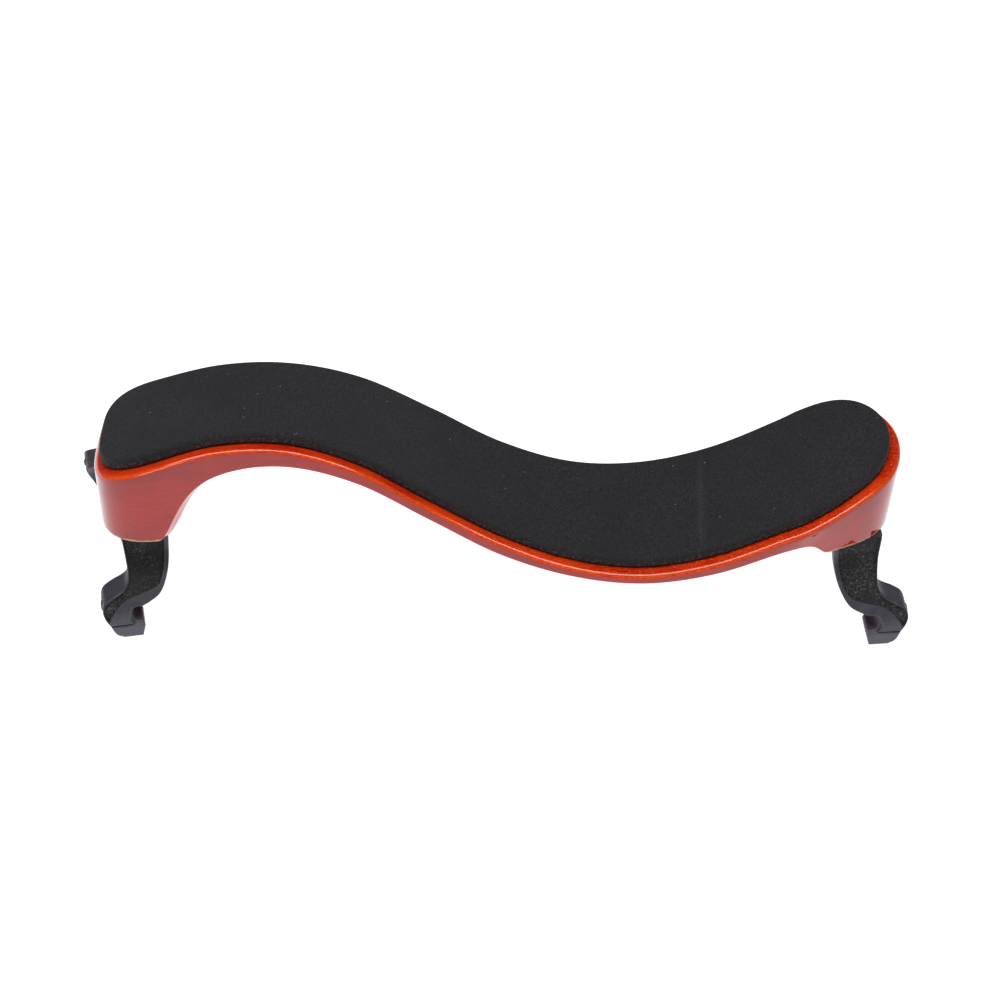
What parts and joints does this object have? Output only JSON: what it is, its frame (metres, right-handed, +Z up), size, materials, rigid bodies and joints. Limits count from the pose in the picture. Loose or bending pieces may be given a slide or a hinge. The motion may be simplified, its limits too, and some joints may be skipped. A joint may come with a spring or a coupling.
{
  "type": "violin shoulder rest",
  "caption": "S-curved varnished maple violin shoulder rest with a black foam pad, and a turning, height-adjustable two-pronged fork with rubber claws under each end.",
  "frame": {"origin": "on the plane that the claws stand on, under the middle of the outside box", "axes": "+X from the shoulder end to the chest end, +Y from the front edge to the back edge, +Z up from the claws to the pad"},
  "size_m": [0.2418, 0.0804, 0.0665],
  "materials": {
    "varnished_maple": "gloss varnish, deep red-orange over fine maple grain",
    "pad_foam": "matte closed-cell foam with a fine grain",
    "adhesive_film": "thin double-sided film",
    "insert_brass": "machined",
    "screw_steel": "machined",
    "washer_nylon": "smooth",
    "fork_plastic": "moulded, lightly textured",
    "claw_rubber": "soft, matte"
  },
  "bodies": {
    "rest": {"maple_body": "varnished_maple", "foam_pad": "pad_foam", "pad_adhesive": "adhesive_film", "shoulder_thread_insert": "insert_brass", "chest_thread_insert": "insert_brass"},
    "shoulder_screw": {"shoulder_height_screw": "screw_steel"},
    "shoulder_claws": {"shoulder_fork": "fork_plastic", "shoulder_hub_nut": "screw_steel", "shoulder_wood_washer": "washer_nylon", "shoulder_front_claw_pad": "claw_rubber", "shoulder_back_claw_pad": "claw_rubber"},
    "chest_screw": {"chest_height_screw": "screw_steel"},
    "chest_claws": {"chest_fork": "fork_plastic", "chest_hub_nut": "screw_steel", "chest_wood_washer": "washer_nylon", "chest_front_claw_pad": "claw_rubber", "chest_back_claw_pad": "claw_rubber"}
  },
  "joints": [
    {"name": "shoulder_height", "type": "slide", "parent": "rest", "child": "shoulder_screw", "axis": [0, 0, -1], "range_m": [0, 0.008]},
    {"name": "shoulder_turn", "type": "hinge", "parent": "shoulder_screw", "child": "shoulder_claws", "pos_m": [-0.0992, 0.00515, 0.0307], "axis": [0, 0, -1], "range_deg": [0, 2880]},
    {"name": "chest_height", "type": "slide", "parent": "rest", "child": "chest_screw", "axis": [0, 0, -1], "range_m": [0, 0.008]},
    {"name": "chest_turn", "type": "hinge", "parent": "chest_screw", "child": "chest_claws", "pos_m": [0.1021, 0.00025, 0.0307], "axis": [0, 0, -1], "range_deg": [0, 2880]}
  ],
  "couplings": [
    {"joint": "shoulder_height", "follows": "shoulder_turn", "m_per_rad": 0.00015915},
    {"joint": "chest_height", "follows": "chest_turn", "m_per_rad": 0.00015915}
  ]
}
